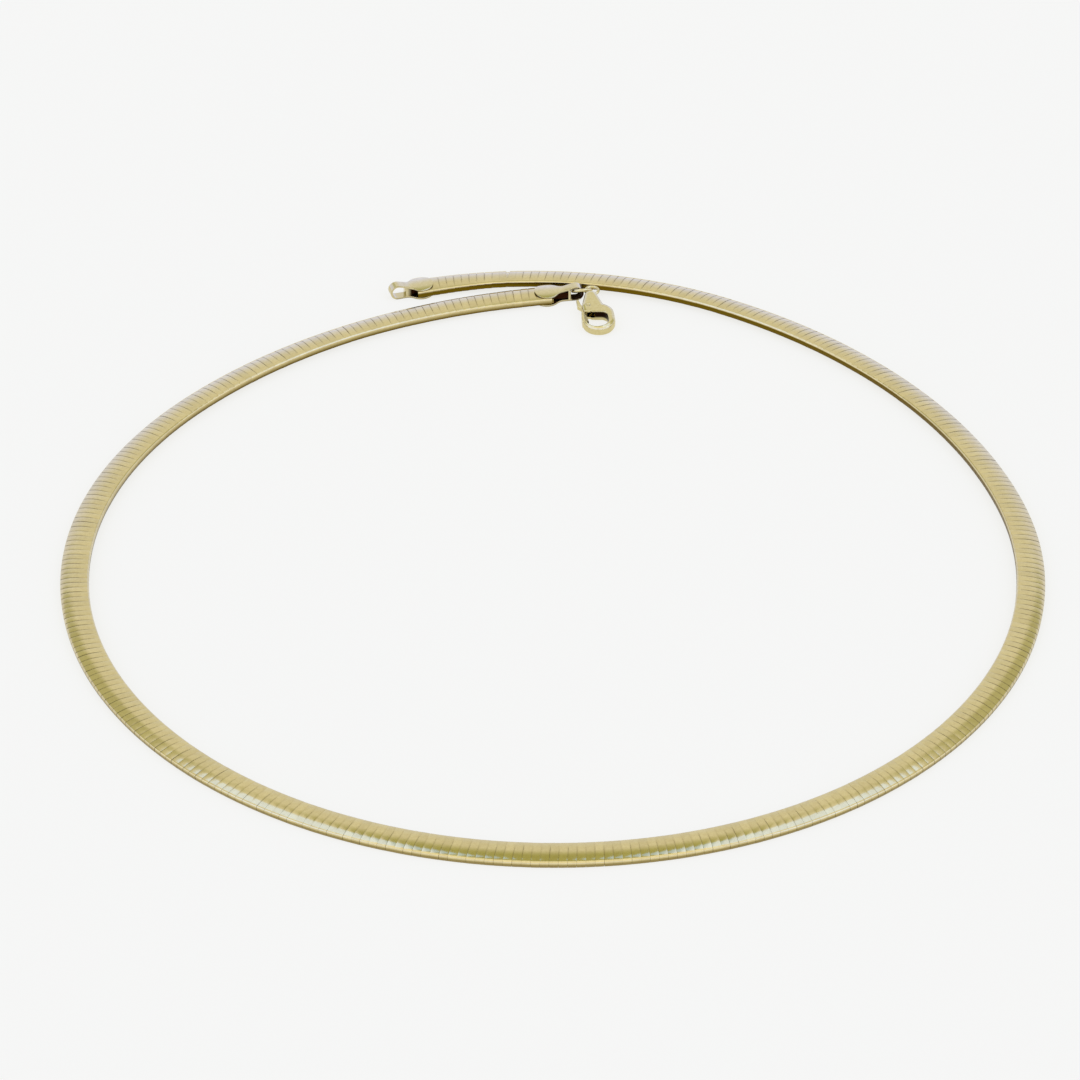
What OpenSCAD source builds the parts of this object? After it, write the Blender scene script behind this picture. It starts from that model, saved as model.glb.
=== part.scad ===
// Domed omega necklace in yellow gold, lying open on a flat surface.
// The band is a springy ring of close-set plates, and each of its ends sits in a folded cap.
// One cap carries a jump ring and a trigger clasp, and the other cap's fold loop is what it hooks on.
// X points to the right, Y to the back where the ends lie side by side, and Z up from the surface.

/* [Band] */
// Width of the plated band
band_w = 3.8; // [3.4:0.1:4.2]
// Height of the band's side walls
wall_h = 0.85; // [0.7:0.05:1]
// How far the domed top rises above the walls
crown = 0.3; // [0.2:0.05:0.4]
// Radius of the band's rounded edges
edge_r = 0.25; // [0.15:0.05:0.3]

/* [End caps] */
// Thickness of the cap's sheet
sheet = 0.25; // [0.2:0.01:0.3]
// Width of the cap's round tongues
tongue_w = 3.6; // [3:0.1:3.7]
// How far the tongues reach over the band
tongue_grip = 2.5; // [2:0.1:3]
// Width of the strap that folds into the loop
strap_w = 1.4; // [1.2:0.1:1.6]
// Height of the fold loop, with its sheet
loop_h = 2.2; // [2:0.1:2.3]
// Length of the slot that the clasp hooks into
hook_slot = 2; // [1.9:0.1:2.2]
// Length of the slot that the jump ring passes through
ring_slot = 1.6; // [1.6:0.1:1.8]

/* [Jump ring] */
// Radius of the jump ring, to the middle of its wire
ring_r = 1.35; // [1.33:0.01:1.36]
// Thickness of its wire
ring_wire = 0.44; // [0.38:0.02:0.44]

/* [Clasp] */
// Length of the clasp from the middle of its eye to the tip of its hook
clasp_l = 10.5; // [10.2:0.1:10.6]
// Thickness of the clasp's body
clasp_t = 1.6; // [1.5:0.1:1.8]
// Width of the clasp's body
clasp_w = 4.8; // [4.6:0.1:5]
// Radius of the clasp's eye, to the middle of its wire
eye_r = 0.92; // [0.9:0.01:0.94]
// Thickness of the trigger's tongue, between the body's two cheeks
lever_t = 0.7; // [0.6:0.05:0.8]
// Radius of the pin that the trigger turns on
pin_r = 0.3; // [0.25:0.05:0.35]

/* [Hidden] */
$fn = 48;
gold = "#d9c27a";
shade_gold = "#c3a860";

// The band's centre line from the front middle to each end, as tangent arcs: radius, turn in degrees.
right_half = [[63, 42], [65, 60], [81, 47], [54, 49]];
left_half = [[64, 70], [65, 57], [79, 44]];

gap = 0.06;
hair = 0.01;
lap = 0.05;
dome_r = (pow(band_w / 2, 2) + pow(crown, 2)) / (2 * crown);
dome_z = wall_h + crown - dome_r;
corner_z = dome_z + sqrt(pow(dome_r - edge_r, 2) - pow(band_w / 2 - edge_r, 2));
corner_steps = 4;
dome_steps = 10;

// The turn and the position of a half's centre line at the start of arc n.
function turn_at(half, n) = n == 0 ? 0 : turn_at(half, n - 1) + half[n - 1][1];
function arc_run(r, a, b) = r * [sin(b) - sin(a), cos(a) - cos(b)];
function start_of(half, n) = n == 0 ? [0, 0]
    : start_of(half, n - 1) + arc_run(half[n - 1][0], turn_at(half, n - 1), turn_at(half, n));

// The position where a half has turned through a given angle within arc n.
function point_at(half, n, turn) = start_of(half, n) + arc_run(half[n][0], turn_at(half, n), turn);

// The box around the whole ring, whose middle is the origin.
right_x = point_at(right_half, 1, 90)[0] + band_w / 2;
left_x = -point_at(left_half, 1, 90)[0] - band_w / 2;
back_y = point_at(right_half, 3, 180)[1] + band_w / 2;
front_y = -band_w / 2;

// The ring rests on its front and on its caps, whose lower sheets lift the back by their own thickness.
left_end = start_of(left_half, len(left_half));
left_heading = turn_at(left_half, len(left_half));
rest_y = left_end[1] + (tongue_w / 2 - tongue_grip) * sin(left_heading) - tongue_w / 2;
tilt = atan((gap + sheet) / (rest_y - front_y));

// Points on an arc in n steps. The first and last can be left out, where another arc already has them.
function arc_points(x, y, r, a, b, n, skip = 0) = [for (i = [skip:n - skip])
    [x + r * cos(a + (b - a) * i / n), y + r * sin(a + (b - a) * i / n)]];

// The band's section: flat underside, walls and a domed top, with all edges rounded. Less is taken off all round.
function section(less) =
    let (x = band_w / 2 - edge_r, slope = asin(x / (dome_r - edge_r)), r = edge_r - less)
    concat(
        arc_points(x, edge_r, r, -90, 0, corner_steps),
        arc_points(x, corner_z, r, 0, 90 - slope, corner_steps),
        arc_points(0, dome_z, dome_r - less, 90 - slope, 90 + slope, dome_steps, 1),
        arc_points(-x, corner_z, r, 90 + slope, 180, corner_steps),
        arc_points(-x, edge_r, r, 180, 270, corner_steps));

// A stretch of the band along arc n. A slim one is a hair smaller and laps into both its neighbours,
// so that stretches of different radius join as one solid.
module band_arc(half, n, slim) {
    r = half[n][0];
    from = turn_at(half, n);
    centre = start_of(half, n) + r * [-sin(from), cos(from)];
    more = slim ? lap / r * 180 / PI : 0;
    translate([centre[0], centre[1], 0])
        rotate([0, 0, from - more - 90])
            rotate_extrude(angle = half[n][1] + 2 * more)
                translate([r, 0])
                    polygon(section(slim ? hair : 0));
}

// Every other stretch is slim, starting with the first one or with the second.
module band_half(half, first_slim) {
    for (n = [0:len(half) - 1])
        band_arc(half, n, (n % 2 == 0) == first_slim);
}

module in_ring() {
    translate([-(right_x + left_x) / 2, -(back_y + front_y) / 2, 0])
        translate([0, front_y, 0])
            rotate([tilt, 0, 0])
                translate([0, -front_y, 0])
                    children();
}

// A frame at the end of a half: x runs on past the band, y to the inside of the ring, z up.
module at_end(half) {
    p = start_of(half, len(half));
    translate([p[0], p[1], 0])
        rotate([0, 0, turn_at(half, len(half))])
            children();
}

module on_clasp_end() {
    in_ring()
        mirror([1, 0, 0])
            at_end(left_half)
                children();
}

module omega_band() {
    color(gold)
        in_ring() {
            band_half(right_half, false);
            mirror([1, 0, 0])
                band_half(left_half, true);
        }
}

// A cap's plan: a round tongue whose sides run through a hollow neck into a straight strap.
neck_r = 1.5;
cap_low = -gap - sheet;

function half_plan(to_x) =
    let (r = tongue_w / 2, x = r - tongue_grip, y = strap_w / 2 + neck_r,
        dx = sqrt(pow(r + neck_r, 2) - y * y), meet = atan2(y, dx))
    concat(
        arc_points(x, 0, r, 175, meet, 16),
        arc_points(x + dx, y, neck_r, meet + 187, 270, 5),
        [[to_x, strap_w / 2]]);

module cap_plan(to_x) {
    near = half_plan(to_x);
    polygon(concat(near, [for (i = [len(near) - 1:-1:0]) [near[i][0], -near[i][1]]]));
}

// The fold loop's side view: a round end, and a top that slopes down to the tongue.
loop_slope = 14;
function loop_side(from_x, end_x, inset) =
    let (r = loop_h / 2 - inset, x = end_x - loop_h / 2, z = cap_low + loop_h / 2,
        top_x = x - r * sin(loop_slope), top_z = z + r * cos(loop_slope))
    concat(
        [[from_x, z - r]],
        arc_points(x, z, r, -90, 90 + loop_slope, 13),
        [[from_x, top_z - (top_x - from_x) * tan(loop_slope)]]);

module along_band(r, to_x) {
    translate([-tongue_grip - 1, 0, dome_z])
        rotate([0, 90, 0])
            cylinder(r = r, h = to_x + tongue_grip + 1, $fn = 96);
}

module across(width) {
    translate([0, width / 2, 0])
        rotate([90, 0, 0])
            linear_extrude(width)
                children();
}

// The cap's slot runs from slot_x; in front of it a closed web ends the pocket for the band.
web = 0.45;
hook_slot_x = 1.75;
ring_slot_x = 2.75;
module cap(slot_x, slot_l) {
    end_x = slot_x + slot_l + sheet;
    difference() {
        union() {
            intersection() {
                translate([0, 0, cap_low])
                    linear_extrude(loop_h)
                        cap_plan(slot_x + slot_l / 2);
                along_band(dome_r + gap + sheet, slot_x);
            }
            across(strap_w)
                polygon(loop_side(slot_x - 2 * web, end_x, 0));
        }
        intersection() {
            translate([-tongue_grip - 1, -band_w, -gap])
                cube([tongue_grip + 1 + slot_x - web, 2 * band_w, loop_h]);
            along_band(dome_r + gap, slot_x);
        }
        across(band_w)
            polygon(loop_side(slot_x, end_x, sheet));
    }
}

module end_cap_clasp() {
    color(gold)
        on_clasp_end()
            cap(ring_slot_x, ring_slot);
}

module end_cap_free() {
    color(gold)
        in_ring()
            at_end(right_half)
                cap(hook_slot_x, hook_slot);
}

// The jump ring lies in the slot of the fold loop, its near side up through the clasp's eye.
ring_at = [ring_slot_x + 1.66, 0.11, 0.89];
ring_slope = 34.7;
ring_turn = -88;

module jump_ring() {
    color(shade_gold)
        on_clasp_end()
            translate(ring_at)
                rotate([0, ring_slope, ring_turn])
                    rotate_extrude()
                        translate([ring_r, 0])
                            circle(d = ring_wire, $fn = 24);
}

// The clasp's own frame: x from the eye to the hook's end, y to the hook's back, z up through its flat.
eye_at = [ring_slot_x + 3.05, 0.6, 1.09];
eye_wire = 0.44;
clasp_yaw = 94;
clasp_pitch = 3.2;

module on_clasp() {
    on_clasp_end()
        translate(eye_at)
            rotate([0, 0, clasp_yaw])
                mirror([0, 1, 0])
                    rotate([0, clasp_pitch, 0])
                        children();
}

hook_r = clasp_w / 2;
hook_x = clasp_l - hook_r;
hook_y = 0.2;
shoulder_x = hook_x - 1.7;
shoulder_y = hook_y + 0.15;
shoulder_r = hook_r - 0.15;
rim = 0.8;
window_x = hook_x + 0.3;
window_r = hook_r - rim;
round_off = 0.5;

// The mouth is where the trigger's arm closes the rim. It reaches as far from the pin as the hook's tip.
pivot = [4.6, -1];
pivot_r = 0.65;
mouth_x = pivot[0] + 1.5;
mouth_y = -0.7;
mouth_r = 4.1;
slot_top = -0.15;
arm_t = 1.2;
arm_y = hook_y - hook_r;

// A disc whose rim is rounded in two steps. The clasp's neck and its hook are hulls around such discs.
module disc(x, y, r) {
    step = 0.29 * round_off;
    translate([x, y, 0]) {
        cylinder(r = r, h = clasp_t - 2 * round_off, center = true, $fn = 32);
        cylinder(r = r - step, h = clasp_t - 2 * step, center = true, $fn = 32);
        cylinder(r = r - round_off, h = clasp_t, center = true, $fn = 32);
    }
}

module clasp_window() {
    hull() {
        translate([window_x, 0])
            circle(r = window_r);
        translate([window_x - 1.1, 0.65])
            circle(r = 0.9);
        translate([window_x - 1.85, -1.4])
            circle(r = 0.3);
    }
}

module through(h) {
    translate([0, 0, -h / 2])
        linear_extrude(h)
            children();
}

module clasp_body() {
    color(gold)
        on_clasp()
            difference() {
                union() {
                    hull() {
                        disc(1.75, -0.35, 0.9);
                        disc(pivot[0], -0.75, 1.2);
                        disc(pivot[0] + 0.8, -0.2, 1.7);
                    }
                    hull() {
                        disc(shoulder_x, shoulder_y, shoulder_r);
                        disc(hook_x, hook_y, hook_r);
                    }
                    rotate_extrude()
                        translate([eye_r, 0])
                            circle(r = eye_wire / 2, $fn = 24);
                }
                through(2 * clasp_t)
                    clasp_window();
                intersection() {
                    translate([pivot[0], pivot[1], -clasp_t])
                        cylinder(r = mouth_r, h = 2 * clasp_t, $fn = 96);
                    translate([mouth_x, -clasp_w, -clasp_t])
                        cube([mouth_r, clasp_w + mouth_y, 2 * clasp_t]);
                }
                translate([pivot[0] - 1, -clasp_w, -lever_t / 2 - gap])
                    cube([window_x - 1.8 - pivot[0] + 1, clasp_w + slot_top, lever_t + 2 * gap]);
                translate([pivot[0], pivot[1], -clasp_t])
                    cylinder(r = pin_r + 0.02, h = 2 * clasp_t);
                translate([0, 0, -clasp_t])
                    cylinder(r = eye_r - eye_wire / 2, h = 2 * clasp_t);
            }
}

// The arm continues the rim's outline, and its thin tongue turns on the pin and ends in a thumb tab.
module clasp_lever() {
    color(shade_gold)
        on_clasp()
            difference() {
                union() {
                    through(arm_t)
                        intersection() {
                            polygon([[mouth_x + gap, arm_y + 0.1], [window_x - 1, arm_y], [hook_x + 1, arm_y + 0.08],
                                [hook_x + 1, -1.15], [window_x - 1, -1.4], [window_x - 1.8, -1.65],
                                [mouth_x + gap, -1.6]]);
                            translate(pivot)
                                circle(r = mouth_r - gap, $fn = 96);
                        }
                    through(lever_t)
                        polygon([for (p = [[0, pivot_r], [1.6, -0.3], [1.8, -0.5], [1.8, -1.1], [0.2, -1], [-0.4, -1.5],
                            [-1.9, -1.55], [-2, -1.2], [-0.5, -0.9], [-pivot_r, 0]]) pivot + p]);
                    translate([pivot[0], pivot[1], -lever_t / 2])
                        cylinder(r = pivot_r, h = lever_t);
                }
                translate([pivot[0], pivot[1], -clasp_t])
                    cylinder(r = pin_r + 0.05, h = 2 * clasp_t);
            }
}

module clasp_pin() {
    color(shade_gold)
        on_clasp()
            translate([pivot[0], pivot[1], 0.05 - clasp_t / 2])
                cylinder(r = pin_r, h = clasp_t - 0.1);
}

omega_band();
end_cap_clasp();
end_cap_free();
jump_ring();
clasp_body();
clasp_lever();
clasp_pin();
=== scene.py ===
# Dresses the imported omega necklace: close-set gold plates on a springy core, folded end caps,
# a jump ring and a trigger clasp, lying open on a pale sheet in a light tent.
import math
import random
import bpy
import numpy as np
from mathutils import Matrix, Vector


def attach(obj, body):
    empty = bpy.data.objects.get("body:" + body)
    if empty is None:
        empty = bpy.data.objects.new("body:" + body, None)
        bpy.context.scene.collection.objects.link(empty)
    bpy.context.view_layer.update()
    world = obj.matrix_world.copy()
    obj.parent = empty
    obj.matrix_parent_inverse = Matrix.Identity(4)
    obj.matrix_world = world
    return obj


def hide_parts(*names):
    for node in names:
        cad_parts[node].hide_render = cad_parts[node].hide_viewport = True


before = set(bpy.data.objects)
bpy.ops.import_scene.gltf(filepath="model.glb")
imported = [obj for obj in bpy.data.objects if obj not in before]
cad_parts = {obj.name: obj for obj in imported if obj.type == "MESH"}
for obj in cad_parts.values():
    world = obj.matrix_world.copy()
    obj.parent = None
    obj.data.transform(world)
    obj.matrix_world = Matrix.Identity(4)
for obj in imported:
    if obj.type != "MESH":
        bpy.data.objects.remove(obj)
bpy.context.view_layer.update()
mm = 0.001  # lengths below are in mm, and turns in degrees
random.seed(7)  # each plate lies a little differently, in the same way on every run


def deselectAll():
    if bpy.context.object and bpy.context.object.mode != "OBJECT":
        bpy.ops.object.mode_set(mode="OBJECT")
    bpy.ops.object.select_all(action="DESELECT")


def makeActive(obj):
    deselectAll()
    obj.select_set(True)
    bpy.context.view_layer.objects.active = obj


def newest(name):
    obj = bpy.context.object
    obj.name = name
    obj.data.name = name
    return obj


def applyAll(obj):
    # bakes the modifiers in order, then the object's own place, so that it sits at the origin
    makeActive(obj)
    for m in list(obj.modifiers):
        bpy.ops.object.modifier_apply(modifier=m.name)
    bpy.ops.object.transform_apply(location=True, rotation=True, scale=True)


def outwards(obj, merge=0.0):
    makeActive(obj)
    bpy.ops.object.mode_set(mode="EDIT")
    bpy.ops.mesh.select_all(action="SELECT")
    if merge:
        bpy.ops.mesh.remove_doubles(threshold=merge)
    bpy.ops.mesh.normals_make_consistent(inside=False)
    bpy.ops.object.mode_set(mode="OBJECT")


def smooth(obj, degrees):
    makeActive(obj)
    bpy.ops.object.shade_smooth_by_angle(angle=math.radians(degrees))


# the camera, at the photograph's angle
view = {"lens": 190, "sensor": 36, "at": (-1.7, -637.7, 427.8), "towards": (-1.7, 2.5, 0), "nearest": 10}


def makeCamera():
    bpy.ops.object.camera_add(location=[c * mm for c in view["at"]])
    cam = bpy.context.object
    cam.name = "camera"
    cam.data.lens = view["lens"]
    cam.data.sensor_width = view["sensor"]
    cam.data.clip_start = view["nearest"] * mm
    aim = Vector(view["towards"]) * mm - cam.location
    cam.rotation_euler = aim.to_track_quat("-Z", "Y").to_euler()
    bpy.context.scene.camera = cam


makeCamera()
print("camera placed")


def hexToLinear(code):
    parts = [int(code[i:i + 2], 16) / 255 for i in (1, 3, 5)]
    return [p / 12.92 if p <= 0.04045 else ((p + 0.055) / 1.055) ** 2.4 for p in parts] + [1.0]


def addNode(tree, kind, settings=(), values=(), links=()):
    # settings are the node's own fields, values its unlinked inputs, links its (input, node, output) wires
    node = tree.nodes.new(kind)
    for field, value in dict(settings).items():
        setattr(node, field, value)
    for socket, value in dict(values).items():
        node.inputs[socket].default_value = value
    for socket, source, output in links:
        tree.links.new(source.outputs[output], node.inputs[socket])
    return node


goldLooks = {
    # 14 carat yellow gold, rolled and polished: pale warm mirror; its folded flanks are rougher, and their
    # deeper colour is painted shade
    "plate": {"light": "#dccc93", "deep": "#d4c28a", "paintedShade": "#6c560c", "rough": 0.11, "roughSpread": 0.03,
              "dullRough": 0.34, "relief": 0.004},
    # stamped 14 carat sheet with a hand polish; the inside of the fold is rougher, and its dark colour is
    # painted shade
    "sheet": {"light": "#dccfa2", "deep": "#d2c495", "paintedShade": "#2c1406", "rough": 0.13, "roughSpread": 0.03,
              "dullRough": 0.4, "relief": 0.004},
    # cast 14 carat gold, buffed outside: soft orange-peel under the shine; inside the window it is rougher,
    # and its dark colour is painted shade
    "cast": {"light": "#dccf9a", "deep": "#d1c28a", "paintedShade": "#1e0f06", "rough": 0.12, "roughSpread": 0.03,
             "dullRough": 0.34, "relief": 0.003},
}
# what the buff leaves on all three; a scale is how many fit into a metre
polish = {
    "clouds": {"Scale": 2500.0, "Detail": 3.0},  # soft clouds, 0.4 mm wide
    "wipes": {"Scale": 9000.0, "Detail": 2.0, "Distortion": 0.6},  # finer wipes, about 0.1 mm apart
    "deepBelow": 0.3, "lightAbove": 0.7, "plateTones": (0.92, 1.0), "bump": 0.6,
}


def makeGold(name, look):
    mat = bpy.data.materials.new(name)
    mat.use_nodes = True
    tree = mat.node_tree
    shader = tree.nodes["Principled BSDF"]
    shader.inputs["Metallic"].default_value = 1.0
    place = addNode(tree, "ShaderNodeTexCoord")
    clouds = addNode(tree, "ShaderNodeTexNoise", values=polish["clouds"], links=[("Vector", place, "Object")])
    wipes = addNode(tree, "ShaderNodeTexNoise", values=polish["wipes"], links=[("Vector", place, "Object")])
    ramp = addNode(tree, "ShaderNodeValToRGB", links=[("Fac", clouds, "Fac")])
    deep, light = ramp.color_ramp.elements
    deep.position, deep.color = polish["deepBelow"], hexToLinear(look["deep"])
    light.position, light.color = polish["lightAbove"], hexToLinear(look["light"])
    # each plate catches the polish a little differently; where the shade mask is set, the colour is painted
    # shade and the surface rougher
    own = addNode(tree, "ShaderNodeAttribute", {"attribute_name": "plateTone"})
    dark, full = polish["plateTones"]
    shade = addNode(tree, "ShaderNodeMapRange", values={"To Min": dark, "To Max": full},
                    links=[("Value", own, "Fac")])
    toned = addNode(tree, "ShaderNodeVectorMath", {"operation": "SCALE"},
                    links=[("Vector", ramp, "Color"), ("Scale", shade, "Result")])
    paintedShade = addNode(tree, "ShaderNodeAttribute", {"attribute_name": "paintedShadeShare"})
    mixed = addNode(tree, "ShaderNodeMix", {"data_type": "RGBA"}, {7: hexToLinear(look["paintedShade"])},
                    [("Factor", paintedShade, "Fac"), (6, toned, "Vector")])
    tree.links.new(mixed.outputs[2], shader.inputs["Base Color"])
    rough = addNode(tree, "ShaderNodeMapRange",
                    values={"To Min": look["rough"] - look["roughSpread"],
                            "To Max": look["rough"] + look["roughSpread"]},
                    links=[("Value", wipes, "Fac")])
    rougher = addNode(tree, "ShaderNodeMix", {"data_type": "FLOAT"}, {"B": look["dullRough"]},
                      [("Factor", paintedShade, "Fac"), ("A", rough, "Result")])
    tree.links.new(rougher.outputs["Result"], shader.inputs["Roughness"])
    bump = addNode(tree, "ShaderNodeBump",
                   values={"Strength": polish["bump"], "Distance": look["relief"] * mm},
                   links=[("Height", clouds, "Fac")])
    tree.links.new(bump.outputs["Normal"], shader.inputs["Normal"])
    return mat


def writeAttribute(obj, name, values):
    layer = obj.data.attributes.get(name) or obj.data.attributes.new(name, "FLOAT", "POINT")
    layer.data.foreach_set("value", np.asarray(values, np.float32))


plateGold = makeGold("goldPlatePolished", goldLooks["plate"])
sheetGold = makeGold("goldSheetPolished", goldLooks["sheet"])
castGold = makeGold("goldCastBuffed", goldLooks["cast"])
print("materials made")


# the band: plates on a core, along a path of tangent arcs
band = {
    # the section, as in the part's source, with rolled edges, flat flanks and a groove below
    "width": 3.8, "wall": 0.85, "crown": 0.3, "edge": 0.25, "outerEdge": 0.24, "innerEdge": 0.24,
    "innerFlankTop": 0.72, "outerFlankTop": 0.5, "groove": 0.12, "grooveHalf": (0.98, 0.86),
    "flatFrom": 0.5,  # the dome runs out flat towards the inside of the ring from here
    "plateSteps": (8, 4, 2), "coreSteps": (4, 2, 1),  # steps of the dome, the upper edges, the lower edges
    # the path from the front middle to each end: radius and turn of each arc
    "rightArcs": [(63, 42), (65, 60), (81, 47), (54, 49)],
    "leftArcs": [(64, 70), (65, 57), (79, 44)],
    # the caps' lower sheets lift the back by this much, and hold the ends with round tongues: radius, reach
    "lift": 0.31, "tongueRadius": 1.8, "tongueReach": 2.5,
    # the plates lie closest up to the first reach from the front middle, and as usual from the second on
    "pitch": 1.12, "gap": 0.05, "frontGap": 0.01, "frontReach": (35.0, 80.0), "slant": 7.0, "frontSlant": 4.0,
    "soft": 0.18, "pillow": 0.007,  # over the soft length each is rounded down to its neighbour by the pillow
    # they touch along the inside of the ring and stand a little open along its outside
    "openAt": (-1.9, -1.2, 1.2, 1.65, 1.9), "open": (0.01, 0.0, 0.0, -0.06, -0.08),
    "usualRadius": 66,  # the ring's, for the plates' wedge
    "sink": 0.14,  # how far the core lies below the plates
    "coreHalf": 0.515,  # half a core slice, as a share of the pitch: it laps a little over its neighbour
    # one place where the plates have sprung apart, by its distance from the right end
    "sprung": {"from": 13.6, "yaw": 4.0, "shift": 0.14, "barePitches": 1.1},
    # the band leans outwards; it lies flat along the first length at each end and tips over along the second
    "lean": 5.0, "leftLean": (5.0, 25.0), "rightLean": (2.0, 10.0),
    "tiltJitter": 0.35, "yawJitter": 0.22, "liftJitter": 0.007,  # how much the plates differ from each other
    # painted shade on the flanks: how dark, below which height, and over what height that fades
    "paintedShade": {"outerTop": 0.6, "outerMost": 0.65, "innerTop": 0.8, "fade": 0.08, "leftFade": 0.5, "core": 0.8},
    # painted dark reflection: the clasp end's outermost strip is darkened where it mirrors the other strand's
    # dark flank: number of plates, from where, how much
    "flankReflection": {"plates": 24, "beyond": -1.76, "share": 0.7},
    # polishing rouge and painted shade lie along the seams, from this share of the pitch on: they fade
    # towards the inside, and are weaker on the outer slope round the front
    "seamRougeAndShade": {"share": 0.16, "from": 0.45, "fades": (0.4, 1.5), "outerSlope": -1.1},
    "coreTone": 0.5, "smooth": 32,
}
capLow = -band["lift"]  # the underside of the caps, in the ring's own frame


def arcLength(arcs):
    return sum(r * math.radians(t) for r, t in arcs)


def walk(arcs, s):
    # point and heading in degrees at the distance s from the front middle
    x = y = heading = 0.0
    for r, t in arcs:
        run = r * math.radians(t)
        step = min(s, run) if (r, t) != arcs[-1] else s
        a, b = math.radians(heading), math.radians(heading) + step / r
        x += r * (math.sin(b) - math.sin(a))
        y += r * (math.cos(a) - math.cos(b))
        heading = math.degrees(b)
        s -= step
        if s <= 0:
            break
    return x, y, heading


def ringMatrix():
    # centres the ring on the origin and tips it about its front edge, so that it rests on the caps
    half = band["width"] / 2

    def reach(arcs, samples=2000):
        pts = [walk(arcs, arcLength(arcs) * i / samples)[:2] for i in range(samples + 1)]
        return max(p[0] for p in pts) + half, max(p[1] for p in pts) + half

    rightX, backY = reach(band["rightArcs"])
    leftX, _ = reach(band["leftArcs"])
    _, endY, heading = walk(band["leftArcs"], arcLength(band["leftArcs"]))
    r = band["tongueRadius"]
    restY = endY + (r - band["tongueReach"]) * math.sin(math.radians(heading)) - r
    tip = math.atan(-capLow / (restY + half))
    centre = Matrix.Translation((-(rightX - leftX) / 2, -(backY - half) / 2, 0))
    front = Matrix.Translation((0, -half, 0))
    return centre @ front @ Matrix.Rotation(tip, 4, "X") @ front.inverted()


ring = ringMatrix()
leftLength, rightLength = arcLength(band["leftArcs"]), arcLength(band["rightArcs"])


def bandFrame(s):
    # local frame on the band: x along it to the right, y to the inside of the ring, z up, with the lean
    x, y, heading = walk(band["rightArcs"] if s >= 0 else band["leftArcs"], abs(s))
    if s < 0:
        x, heading = -x, -heading
    flat, over = band["rightLean"] if s >= 0 else band["leftLean"]
    toEnd = rightLength - s if s >= 0 else leftLength + s
    lean = band["lean"] * min(1, max(0, (toEnd - flat) / over))
    foot = Matrix.Translation((0, -band["width"] / 2 + band["edge"], band["edge"]))
    leaning = foot @ Matrix.Rotation(math.radians(lean), 4, "X") @ foot.inverted()
    return ring @ Matrix.Translation((x, y, 0)) @ Matrix.Rotation(math.radians(heading), 4, "Z") @ leaning


def bandSection(less, steps, groove=0.0):
    # the plate's outline in (y, z), counter-clockwise, with less taken off all round
    w, wall, crown = band["width"] / 2, band["wall"], band["crown"]
    domeSteps, upperSteps, lowerSteps = steps
    domeR = (w * w + crown * crown) / (2 * crown)
    domeZ = wall + crown - domeR
    pts = []

    def arc(cx, cy, rad, a, b, n):
        for i in range(n + 1):
            t = a + (b - a) * i / n
            pts.append((cx + rad * math.cos(t), cy + rad * math.sin(t)))

    def shoulder(r):
        # centre and slope of the rolled edge between wall and dome
        x = w - r
        return x, domeZ + math.sqrt((domeR - r) ** 2 - x * x), math.asin(x / (domeR - r))

    q = math.pi / 2
    r = band["edge"]
    arc(w - r, r, r - less, -q, 0, lowerSteps)
    pts.append((w - less, band["innerFlankTop"]))
    flatY, ri = band["flatFrom"], band["innerEdge"]
    slope = math.asin(flatY / domeR)
    zi = domeZ + domeR * math.cos(slope) - (w - ri - flatY) * math.tan(slope) - ri / math.cos(slope)
    xo, zo, so = shoulder(band["outerEdge"])
    arc(w - ri, zi, ri - less, 0, q - slope, upperSteps)
    arc(0, domeZ, domeR - less, q - slope, q + so, domeSteps)
    pts.pop()
    arc(-xo, zo, band["outerEdge"] - less, q + so, 2 * q, upperSteps)
    pts.append((-w + less, band["outerFlankTop"]))
    arc(-(w - r), r, r - less, 2 * q, 3 * q, lowerSteps)
    if groove:
        wide, narrow = band["grooveHalf"]
        pts += [(-wide, less), (-narrow, less + groove), (narrow, less + groove), (wide, less)]
    return pts


def modelSlice(name, rows):
    # a circle shaped to the first row's outline and extruded on to each next one; a row is (x, outline)
    n = len(rows[0][1])
    deselectAll()
    bpy.ops.mesh.primitive_circle_add(vertices=n, radius=1, fill_type="NGON")
    obj = newest(name)
    makeActive(obj)
    bpy.ops.object.mode_set(mode="EDIT")
    bpy.ops.mesh.select_all(action="SELECT")
    for _ in rows[1:]:
        bpy.ops.mesh.extrude_region_move(TRANSFORM_OT_translate={"value": (0, 0, 1)})
    bpy.ops.object.mode_set(mode="OBJECT")
    for v in obj.data.vertices:
        x, outline = rows[round(v.co.z)]
        around = round(math.atan2(-v.co.x, v.co.y) / (2 * math.pi) * n) % n
        v.co = (x, *outline[around])
    outwards(obj)
    return obj


def layAlong(pattern, name, stations, tones, paintedShade):
    # copies one slice to every station as one joined mesh, from arrays
    co = np.array([v.co for v in pattern.data.vertices])
    faces = [list(p.vertices) for p in pattern.data.polygons]
    flat = np.concatenate(faces)
    n, count = len(co), len(stations)
    placed = [co @ np.array(m.to_3x3()).T + np.array(m.translation) for m in stations]
    loops = np.concatenate([flat + n * k for k in range(count)])
    sizes = np.tile([len(f) for f in faces], count)
    mesh = bpy.data.meshes.new(name)
    mesh.vertices.add(n * count)
    mesh.vertices.foreach_set("co", (np.concatenate(placed) * mm).ravel())
    mesh.loops.add(len(loops))
    mesh.loops.foreach_set("vertex_index", loops)
    mesh.polygons.add(len(sizes))
    mesh.polygons.foreach_set("loop_start", np.concatenate([[0], np.cumsum(sizes)[:-1]]))
    mesh.update(calc_edges=True)
    mesh.validate()
    obj = bpy.data.objects.new(name, mesh)
    bpy.context.scene.collection.objects.link(obj)
    writeAttribute(obj, "plateTone", np.repeat(tones, n))
    writeAttribute(obj, "paintedShadeShare", np.concatenate([paintedShade(co, k) for k in range(count)]))
    bpy.data.objects.remove(pattern)
    return obj


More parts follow.
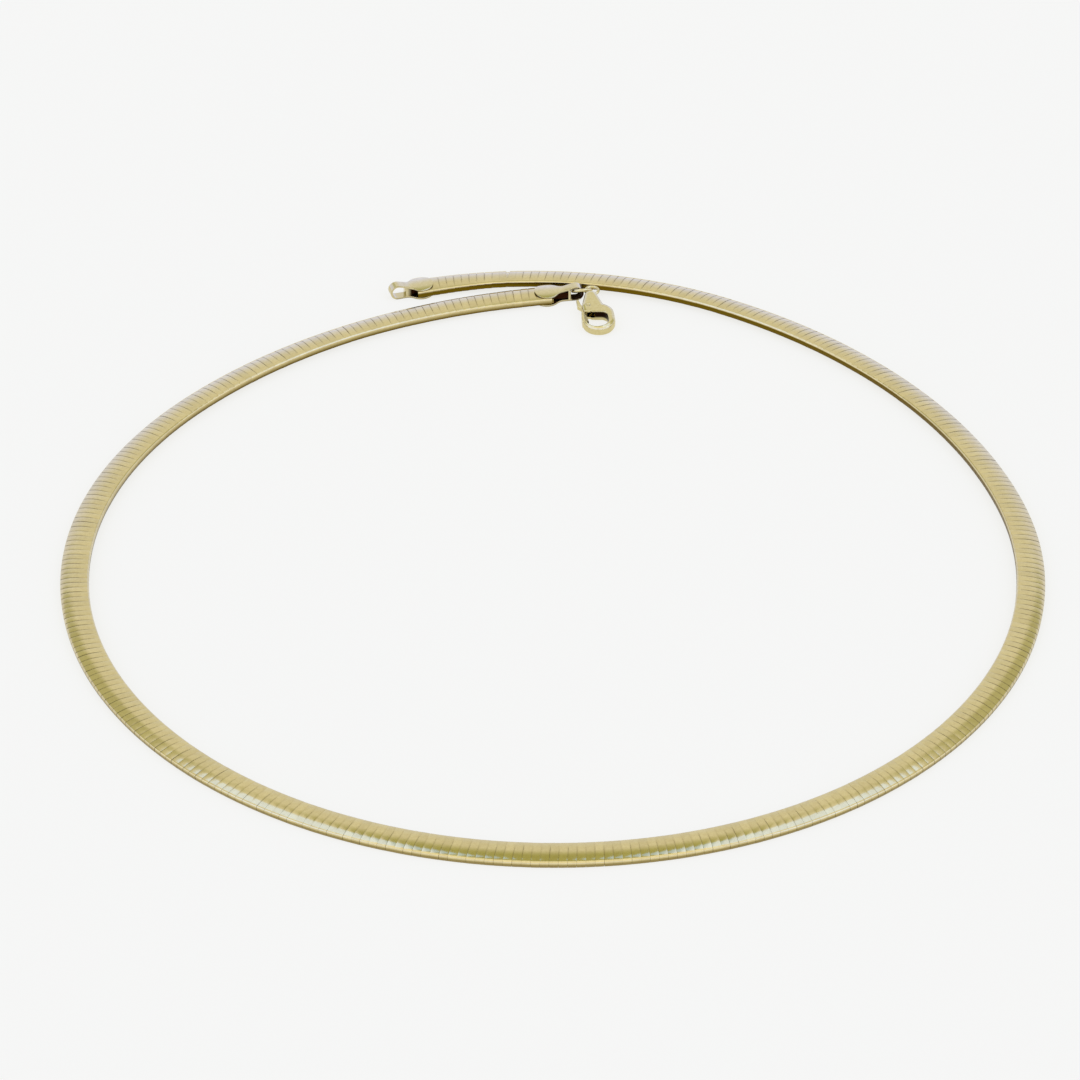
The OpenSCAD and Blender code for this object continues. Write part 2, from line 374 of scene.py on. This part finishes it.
def makeBand():
    count = round((leftLength + rightLength) / band["pitch"])
    pitch = (leftLength + rightLength) / count
    end, soft = (pitch - band["gap"]) / 2, band["soft"]
    full = bandSection(0, band["plateSteps"], band["groove"])
    less = bandSection(band["pillow"], band["plateSteps"], band["groove"])
    plate = modelSlice("plateBlank", [(-end, less), (soft - end, full), (end - soft, full), (end, less)])
    # wedge the blank for the ring's curve, longer again along the inside, where neighbours nest together
    for v in plate.data.vertices:
        opened = np.interp(v.co.y, band["openAt"], band["open"])
        v.co.x *= 1 - (v.co.y / band["usualRadius"] * pitch + opened) / pitch
    near, far = band["frontReach"]
    sprung = band["sprung"]
    stations, tones, shares = [], [], []
    for i in range(count):
        s = -leftLength + (i + 0.5) * pitch
        wobble = Matrix.Translation((0, 0, -abs(random.gauss(0, band["liftJitter"]))))
        wobble = wobble @ Matrix.Rotation(math.radians(random.gauss(0, band["tiltJitter"])), 4, "Y")
        wobble = wobble @ Matrix.Rotation(math.radians(random.gauss(0, band["yawJitter"])), 4, "Z")
        # round the front the plates lie closer together and less aslant; the share is 0 there and 1 elsewhere
        share = min(1, max(0, (abs(s) - near) / (far - near)))
        spare = (band["gap"] - band["frontGap"]) * (1 - share)
        wobble = wobble @ Matrix.Scale(1 + spare / pitch, 4, (1, 0, 0))
        slant = band["frontSlant"] + (band["slant"] - band["frontSlant"]) * share
        wobble[0][1] += math.tan(math.radians(slant))
        away = rightLength - sprung["from"] - s
        if abs(away) < pitch:
            side = 1 if away > 0 else -1
            apart = Matrix.Translation((-side * sprung["shift"], 0, 0))
            wobble = apart @ Matrix.Rotation(math.radians(-side * sprung["yaw"]), 4, "Z") @ wobble
        stations.append(bandFrame(s) @ wobble)
        tones.append(random.random())
        shares.append(share)

    def paintedShadeShare(co, k):
        # painted shade on the flanks, polishing rouge with painted shade on the faces between plates, and a
        # painted dark reflection on the clasp end's outer strip; the left half's inner flank fades more
        # slowly
        x, y, z = co.T
        paintedShade, flankReflection, seamRougeAndShade = band["paintedShade"], band["flankReflection"], band["seamRougeAndShade"]
        fade = paintedShade["fade"] if k > count * 0.5 else paintedShade["leftFade"]
        outer = np.clip((paintedShade["outerTop"] - z) / paintedShade["fade"], 0, paintedShade["outerMost"])
        inner = np.clip((paintedShade["innerTop"] - z) / fade, 0, 1)
        flank = np.where(y < 0, outer, inner)
        # painted dark reflection on the outer strip of the clasp end's plates
        darkReflection = np.where((y < flankReflection["beyond"]) & (k < flankReflection["plates"]), flankReflection["share"], 0.0)
        shade = np.where(np.abs(x) > pitch * seamRougeAndShade["from"], seamRougeAndShade["share"], 0.0)
        shade = shade * np.where(y < seamRougeAndShade["outerSlope"], shares[k], 1.0)
        shade = shade * np.interp(y, seamRougeAndShade["fades"], (1, 0))
        return np.maximum(np.maximum(flank, darkReflection), shade)

    def coreShade(co, k):
        # painted shade darkens the core between the plates, but not where they have sprung apart
        away = (rightLength - sprung["from"]) - (-leftLength + (k + 0.5) * pitch)
        return np.full(len(co), 0.0 if abs(away) < pitch * sprung["barePitches"] else band["paintedShade"]["core"])

    plates = layAlong(plate, "bandPlates", stations, tones, paintedShadeShare)
    smooth(plates, band["smooth"])
    outline = bandSection(band["sink"], band["coreSteps"])
    half = pitch * band["coreHalf"]
    core = modelSlice("coreBlank", [(-half, outline), (half, outline)])
    core = layAlong(core, "bandCore", [bandFrame(-leftLength + (i + 0.5) * pitch) for i in range(count)],
                    [band["coreTone"]] * count, coreShade)
    smooth(core, band["smooth"])
    for piece in (plates, core):
        piece.data.materials.append(plateGold)
        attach(piece, "root")
        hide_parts("omega_band")
    print("band laid:", count, "plates")


makeBand()


# the end caps: one stamped strip each, folded back on itself, with a round tongue at either end
caps = {
    "sheet": 0.25, "gap": 0.06, "strap": 1.4, "neck": 1.5,
    "loopHeight": 2.2, "slope": 14.0, "edge": 0.07, "edgeSteps": 3, "edgeAngle": 50, "smooth": 35,
    # the strip's rows, in order: round a tongue from this turn on, below, round the loop, down the slope,
    # and above; the columns run across it
    "tongueRows": 9, "tongueFrom": 9, "lowRows": 16, "loopRows": 22, "slopeRows": 7, "topRows": 10,
    "columns": 10,
    # painted shade: how dark the face over the band is, with most of the tongue's edge, and the edge on the
    # floor
    "underShade": 0.95, "tongueEdge": 0.8, "footShade": 0.6, "footHeight": 0.09,
    "underSlack": 0.05, "slotSlack": 0.02, "sheetSlack": 0.03,  # how far a painted shade zone reaches past its face
    # the closed web between the slot and the band, painted in shade except towards the slot, and the core
    # that runs on to it, painted in shade all over
    "webBlock": {"narrower": 0.06, "above": 0.1, "over": 0.2, "bevel": 0.16, "steps": 4, "brightShare": 0.8},
    "coreBlock": {"from": -0.5, "narrower": 0.16, "inset": 0.1, "bevel": 0.12, "steps": 2},
    "clasp": {"slotFrom": 2.75, "slot": 1.6, "web": 0.45, "insideShade": 1.0},
    "free": {"slotFrom": 1.75, "slot": 2.0, "web": 1.0, "insideShade": 0.06},
}


def endFrame(right):
    arcs = band["rightArcs"] if right else band["leftArcs"]
    x, y, heading = walk(arcs, arcLength(arcs))
    at = Matrix.Translation((x, y, 0)) @ Matrix.Rotation(math.radians(heading), 4, "Z")
    return ring @ at if right else ring @ Matrix.Scale(-1, 4, (1, 0, 0)) @ at


def halfWidth(x):
    # the strip's plan: round tongue, hollow neck, straight strap
    r, n = band["tongueRadius"], caps["neck"]
    cx = r - band["tongueReach"]
    y = caps["strap"] / 2 + n
    dx = math.sqrt((r + n) ** 2 - y * y)
    meet = cx + r * dx / (r + n)
    if x < meet:
        return math.sqrt(max(0.0, r * r - (x - cx) ** 2))
    if x < cx + dx:
        return y - math.sqrt(n * n - (x - cx - dx) ** 2)
    return caps["strap"] / 2


def stripLine(slotFrom, slot):
    # the folded strip's middle line from the lower tip, round the loop, to the upper tip,
    # as (x, z, domed share)
    t = caps["sheet"]
    r = caps["loopHeight"] / 2 - t / 2
    cx = slotFrom + slot + t - caps["loopHeight"] / 2
    cz = capLow + caps["loopHeight"] / 2
    low = capLow + t / 2
    top = band["wall"] + band["crown"] + caps["gap"] + t / 2
    a = math.radians(caps["slope"])
    topX, topZ = cx - r * math.sin(a), cz + r * math.cos(a)
    kneeX = topX - (topZ - top) / math.tan(a)
    # closer rows towards the round tip
    tongueR = band["tongueRadius"]
    tongue = [tongueR - band["tongueReach"] - tongueR * math.cos(math.radians(v))
              for v in np.linspace(caps["tongueFrom"], 90, caps["tongueRows"])]
    pts = [(x, low, 0) for x in tongue]
    pts += [(x, low, 0) for x in np.linspace(tongue[-1], cx, caps["lowRows"])[1:-1]]
    pts += [(cx + r * math.cos(math.radians(v)), cz + r * math.sin(math.radians(v)), 0)
            for v in np.linspace(-90, 90 + caps["slope"], caps["loopRows"])]
    pts += [(topX + (kneeX - topX) * k, topZ + (top - topZ) * k, k)
            for k in np.linspace(0, 1, caps["slopeRows"])[1:]]
    pts += [(x, top, 1) for x in np.linspace(kneeX, tongue[-1], caps["topRows"])[1:-1]]
    pts += [(x, top, 1) for x in tongue[::-1]]
    return pts


def makeBlock(name, alongX, width, alongZ, look):
    deselectAll()
    bpy.ops.mesh.primitive_cube_add(size=1, location=(sum(alongX) / 2, 0, sum(alongZ) / 2),
                                    scale=(alongX[1] - alongX[0], width, alongZ[1] - alongZ[0]))
    obj = newest(name)
    m = obj.modifiers.new("bevel", "BEVEL")
    m.width, m.segments = look["bevel"], look["steps"]
    applyAll(obj)
    return obj


def makeCap(name, node, right, spec):
    line = stripLine(spec["slotFrom"], spec["slot"])
    deselectAll()
    bpy.ops.mesh.primitive_grid_add(x_subdivisions=caps["columns"], y_subdivisions=len(line) - 1, size=2)
    cap = newest(name)
    w, t, over = band["width"] / 2, caps["sheet"], band["wall"] + band["crown"] + caps["gap"]
    domeR = (w * w + band["crown"] ** 2) / (2 * band["crown"]) + caps["gap"] + caps["sheet"] / 2
    for v in cap.data.vertices:
        i = round((v.co.y + 1) / 2 * (len(line) - 1))
        x, z, dome = line[i]
        y = v.co.x * halfWidth(x)
        v.co = (x, y, z - dome * (domeR - math.sqrt(domeR ** 2 - y * y)))
    for kind, settings in (
            ("SOLIDIFY", {"thickness": t, "offset": 0, "use_even_offset": True}),
            ("BEVEL", {"width": caps["edge"], "segments": caps["edgeSteps"], "limit_method": "ANGLE",
                       "angle_limit": math.radians(caps["edgeAngle"])})):
        m = cap.modifiers.new(kind.lower(), kind)
        for field, value in settings.items():
            setattr(m, field, value)
    applyAll(cap)
    # painted shade: dark on the faces turned to the band, the tongue's edge, the edge on the floor, and
    # inside the loop
    x, y, z = np.array([v.co for v in cap.data.vertices]).T
    drop = domeR - np.sqrt(domeR ** 2 - y * y)
    webFrom, slotFrom = spec["slotFrom"] - spec["web"], spec["slotFrom"]
    under = ((x < webFrom) & (z > over - caps["underSlack"] - drop)
             & (z < over + t * caps["tongueEdge"] - drop))
    foot = z < capLow + caps["footHeight"]
    slack, loopTop = caps["sheetSlack"], capLow + caps["loopHeight"]
    inside = (x > slotFrom - caps["slotSlack"]) & (z > capLow + t - slack) & (z < loopTop - t + slack)
    writeAttribute(cap, "paintedShadeShare", np.select([under, foot, inside],
                                              [caps["underShade"], caps["footShade"], spec["insideShade"]], 0.0))
    look = caps["webBlock"]
    web = makeBlock(name + "Web", (webFrom, slotFrom), caps["strap"] - look["narrower"],
                    (capLow + look["above"], over + look["over"]), look)
    # the web is painted in shade, all but the share towards the slot
    brightFrom = slotFrom - spec["web"] * look["brightShare"]
    writeAttribute(web, "paintedShadeShare", [1.0 if v.co.x < brightFrom else 0.0 for v in web.data.vertices])
    # narrower than the strap, and painted in shade all over
    look = caps["coreBlock"]
    core = makeBlock(name + "Core", (look["from"], slotFrom - spec["web"] / 2),
                     caps["strap"] - look["narrower"],
                     (look["inset"], band["wall"] + band["crown"] - look["inset"]), look)
    writeAttribute(core, "paintedShadeShare", np.ones(len(core.data.vertices)))
    makeActive(cap)
    web.select_set(True)
    core.select_set(True)
    bpy.ops.object.join()
    writeAttribute(cap, "plateTone", np.ones(len(cap.data.vertices)))
    cap.data.transform(Matrix.Scale(mm, 4) @ endFrame(right))
    if not right:
        cap.data.flip_normals()
    outwards(cap)
    cap.data.materials.append(sheetGold)
    smooth(cap, caps["smooth"])
    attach(cap, "root")
    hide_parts(node)


makeCap("capFree", "end_cap_free", True, caps["free"])
makeCap("capClasp", "end_cap_clasp", False, caps["clasp"])
print("caps folded")


# the jump ring, a closed round wire that slopes through the clasp cap's slot
jump = {"radius": 1.35, "wire": 0.44, "fromSlot": 1.66, "aside": 0.11, "height": 0.89,
        "slope": 34.7, "turn": -88.0, "steps": (72, 20), "smooth": 60}


def makeJumpRing():
    deselectAll()
    around, section = jump["steps"]
    bpy.ops.mesh.primitive_torus_add(major_radius=jump["radius"], minor_radius=jump["wire"] / 2,
                                     major_segments=around, minor_segments=section)
    obj = newest("jumpRing")
    at = Matrix.Translation((caps["clasp"]["slotFrom"] + jump["fromSlot"], jump["aside"], jump["height"]))
    m = (endFrame(False) @ at @ Matrix.Rotation(math.radians(jump["turn"]), 4, "Z")
         @ Matrix.Rotation(math.radians(jump["slope"]), 4, "Y"))
    obj.data.transform(Matrix.Scale(mm, 4) @ m)
    outwards(obj)
    obj.data.materials.append(castGold)
    writeAttribute(obj, "plateTone", np.ones(len(obj.data.vertices)))
    smooth(obj, jump["smooth"])
    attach(obj, "root")
    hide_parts("jump_ring")


makeJumpRing()
print("jump ring closed")


# the clasp: cast body and trigger, softened from the CAD forms as a buffed casting is
clasp = {
    "weld": 0.002, "voxel": 0.06, "soften": 10, "softenShare": 0.5, "smooth": 60,
    "eyeFromSlot": 3.05, "aside": 0.6, "height": 1.09, "yaw": 94.0, "pitch": 3.2,
    # the window is the hull of three rounds: x, y, radius
    "window": [(8.4, 0.0, 1.6), (7.3, 0.65, 0.9), (6.55, -1.4, 0.3)], "windowSides": 48, "reach": 0.13,
    # painted shade inside it: from below the rim's edge down to the foot, which the floor lights
    "rimBelow": 0.7, "rimFade": 0.1, "footAbove": -0.45, "footFade": 0.25, "footLeast": 0.12,
    "turned": (0.45, 0.7, 0.9),  # the wall nearest the camera's left takes light from the open side
}


def claspFrame():
    eyeX = caps["clasp"]["slotFrom"] + clasp["eyeFromSlot"]
    at = Matrix.Translation((eyeX, clasp["aside"], clasp["height"]))
    at = at @ Matrix.Rotation(math.radians(clasp["yaw"]), 4, "Z")
    at = at @ Matrix.Scale(-1, 4, (0, 1, 0)) @ Matrix.Rotation(math.radians(clasp["pitch"]), 4, "Y")
    return endFrame(False) @ at


def windowShade(obj):
    # how much painted shade each point gets: inside the window only, and deepest towards the top
    back = np.array((Matrix.Scale(mm, 4) @ claspFrame()).inverted())
    co = np.array([v.co for v in obj.data.vertices])
    p = co @ back[:3, :3].T + back[:3, 3]
    inside = np.ones(len(p), bool)
    for t in np.linspace(0, 2 * math.pi, clasp["windowSides"], endpoint=False):
        u = np.array((math.cos(t), math.sin(t)))
        edge = max(x * u[0] + y * u[1] + r for x, y, r in clasp["window"])
        inside &= p[:, :2] @ u < edge + clasp["reach"]
    wall = np.clip((clasp["rimBelow"] - p[:, 2]) / clasp["rimFade"], 0, 1)
    nx, ny, _ = np.array([v.normal for v in obj.data.vertices]).T
    level, alongX, alongY = clasp["turned"]
    turned = np.clip(level - alongY * ny - alongX * nx, 0, 1)
    depth = np.clip((p[:, 2] - clasp["footAbove"]) / clasp["footFade"], clasp["footLeast"], 1)
    return inside * wall * turned * depth


def softenCopy(node, name, body):
    deselectAll()
    obj = bpy.data.objects.new(name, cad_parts[node].data.copy())
    obj.data.materials.clear()
    bpy.context.scene.collection.objects.link(obj)
    outwards(obj, merge=clasp["weld"] * mm)
    m = obj.modifiers.new("remesh", "REMESH")
    m.mode = "VOXEL"
    m.voxel_size = clasp["voxel"] * mm
    m = obj.modifiers.new("buff", "SMOOTH")
    m.factor, m.iterations = clasp["softenShare"], clasp["soften"]
    applyAll(obj)
    outwards(obj)
    obj.data.materials.append(castGold)
    writeAttribute(obj, "paintedShadeShare", windowShade(obj))
    writeAttribute(obj, "plateTone", np.ones(len(obj.data.vertices)))
    smooth(obj, clasp["smooth"])
    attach(obj, body)
    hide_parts(node)


softenCopy("clasp_body", "claspBody", "root")
softenCopy("clasp_lever", "claspTrigger", "trigger")
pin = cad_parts["clasp_pin"]
pin.data.materials.clear()
pin.data.materials.append(castGold)
print("clasp made")


# the stage: pale floor and the soft light of a tent; sizes in metres
tent = {
    # the sheet lies on a light box, so that nothing throws a hard shadow
    "floor": "#646260", "floorSize": 6, "glow": 0.79, "glowColor": (1.0, 1.0, 0.958, 1),
    # colour of the tent's wall by the sine of the height above the horizon, cooler low down
    "wall": [(0.0, (0.94, 1.02, 1.7)), (0.15, (0.93, 1.02, 1.6)), (0.26, (0.93, 1.0, 1.5)),
             (0.4, (0.93, 0.97, 1.3)), (0.5, (0.92, 0.95, 1.1)), (0.58, (0.92, 0.925, 0.94)),
             (0.97, (0.97, 0.97, 0.97))],
    # the wall behind the camera and the roof are brighter, by how far back they are
    "front": 1.25, "frontFrom": (0.22, 0.12),
    # an olive board hangs behind, up to the roof opening, and one at either side below the soft boxes
    "board": {"color": (0.55, 0.56, 0.26, 1), "half": (0.18, 0.13), "rise": (0.66, 0.9), "behind": 0.16},
    # the side boards' inner edges slope: wider apart low down
    "sideBoards": {"slope": 0.63, "from": (0.57, 0.72), "rise": (0.4, 0.52), "end": (0.8, 0.7), "share": 0.7},
    # cool soft boxes hang behind on either side, and larger ones stand to the left and right
    "boxDistance": 2.5,
    "boxes": {
        "backBox": {"azimuth": 40, "height": 64, "size": (0.72, 1.0), "radiance": 1.26,
                    "color": (0.1, 0.28, 1.0)},
        "sideBox": {"azimuth": 112, "height": 43, "size": (1.3, 1.5), "radiance": 1.4,
                    "color": (0.0, 0.18, 1.0)},
    },
}


def makeFloor():
    deselectAll()
    bpy.ops.mesh.primitive_plane_add(size=tent["floorSize"])
    floor = newest("floor")
    mat = bpy.data.materials.new("paperMatt")
    mat.use_nodes = True
    shader = mat.node_tree.nodes["Principled BSDF"]
    shader.inputs["Base Color"].default_value = hexToLinear(tent["floor"])
    shader.inputs["Roughness"].default_value = 1.0
    shader.inputs["Specular IOR Level"].default_value = 0.0
    shader.inputs["Emission Color"].default_value = tent["glowColor"]
    shader.inputs["Emission Strength"].default_value = tent["glow"]
    floor.data.materials.append(mat)


def makeTent():
    world = bpy.data.worlds.new("tent")
    bpy.context.scene.world = world
    world.use_nodes = True
    tree = world.node_tree
    place = addNode(tree, "ShaderNodeTexCoord")
    parts = addNode(tree, "ShaderNodeSeparateXYZ", links=[("Vector", place, "Generated")])
    aside = addNode(tree, "ShaderNodeMath", {"operation": "ABSOLUTE"}, links=[(0, parts, "X")])
    height = addNode(tree, "ShaderNodeValToRGB", links=[("Fac", parts, "Z")])
    stops = height.color_ramp.elements
    while len(stops) < len(tent["wall"]):
        stops.new(0.5)
    for stop, (at, color) in zip(stops, tent["wall"]):
        stop.position, stop.color = at, color + (1,)
    low, high = tent["frontFrom"]
    front = addNode(tree, "ShaderNodeMapRange", {"interpolation_type": "SMOOTHSTEP"},
                    {"From Min": low, "From Max": high, "To Min": 1.0, "To Max": tent["front"]},
                    [("Value", parts, "Y")])
    lit = addNode(tree, "ShaderNodeVectorMath", {"operation": "SCALE"},
                  links=[("Vector", height, "Color"), ("Scale", front, "Result")])
    # where the boards hang: products of soft steps sideways and upwards
    board, flank = tent["board"], tent["sideBoards"]
    leaning = addNode(tree, "ShaderNodeMath", {"operation": "MULTIPLY_ADD"}, {1: flank["slope"]},
                      [(0, parts, "Z"), (2, aside, "Value")])
    steps = []
    for source, output, (low, high) in ((aside, "Value", board["half"]), (parts, "Z", board["rise"]),
                                        (leaning, "Value", flank["from"]), (parts, "Z", flank["rise"]),
                                        (parts, "Z", flank["end"])):
        steps.append(addNode(tree, "ShaderNodeMapRange", {"interpolation_type": "SMOOTHSTEP"},
                             {"From Min": low, "From Max": high}, [("Value", source, output)]))
    times = {"operation": "MULTIPLY"}
    middle = addNode(tree, "ShaderNodeMath", times, links=[(0, steps[0], "Result"), (1, steps[1], "Result")])
    sides = addNode(tree, "ShaderNodeMath", times, links=[(0, steps[2], "Result"), (1, steps[3], "Result")])
    sides = addNode(tree, "ShaderNodeMath", times, links=[(0, sides, "Value"), (1, steps[4], "Result")])
    sides = addNode(tree, "ShaderNodeMath", times, {1: flank["share"]}, [(0, sides, "Value")])
    share = addNode(tree, "ShaderNodeMath", {"operation": "MAXIMUM"},
                    links=[(0, middle, "Value"), (1, sides, "Value")])
    behind = addNode(tree, "ShaderNodeMath", {"operation": "GREATER_THAN"}, {1: board["behind"]},
                     [(0, parts, "Y")])
    share = addNode(tree, "ShaderNodeMath", times, links=[(0, share, "Value"), (1, behind, "Value")])
    tint = addNode(tree, "ShaderNodeMix", {"data_type": "RGBA"}, {6: (1, 1, 1, 1), 7: board["color"]},
                   [("Factor", share, "Value")])
    both = addNode(tree, "ShaderNodeVectorMath", times, links=[(0, lit, "Vector"), (1, tint, 2)])
    back = tree.nodes["Background"]
    tree.links.new(both.outputs["Vector"], back.inputs["Color"])
    back.inputs["Strength"].default_value = 1.0


def hangBoxes():
    for name, box in tent["boxes"].items():
        for side in (-1, 1):
            az, el = math.radians(box["azimuth"] * side), math.radians(box["height"])
            at = Vector((math.sin(az) * math.cos(el), math.cos(az) * math.cos(el), math.sin(el)))
            at = at * tent["boxDistance"]
            bpy.ops.object.light_add(type="AREA", location=at)
            lamp = bpy.context.object
            lamp.name = name + ("Left" if side < 0 else "Right")
            lamp.data.shape = "RECTANGLE"
            lamp.data.size, lamp.data.size_y = box["size"]
            lamp.data.color = box["color"]
            lamp.data.energy = box["radiance"] * math.pi * box["size"][0] * box["size"][1]
            lamp.rotation_euler = (-at).to_track_quat("-Z", "Y").to_euler()


makeFloor()
makeTent()
hangBoxes()
bpy.context.scene.view_settings.view_transform = "Standard"
print("stage set")

bpy.context.view_layer.update()
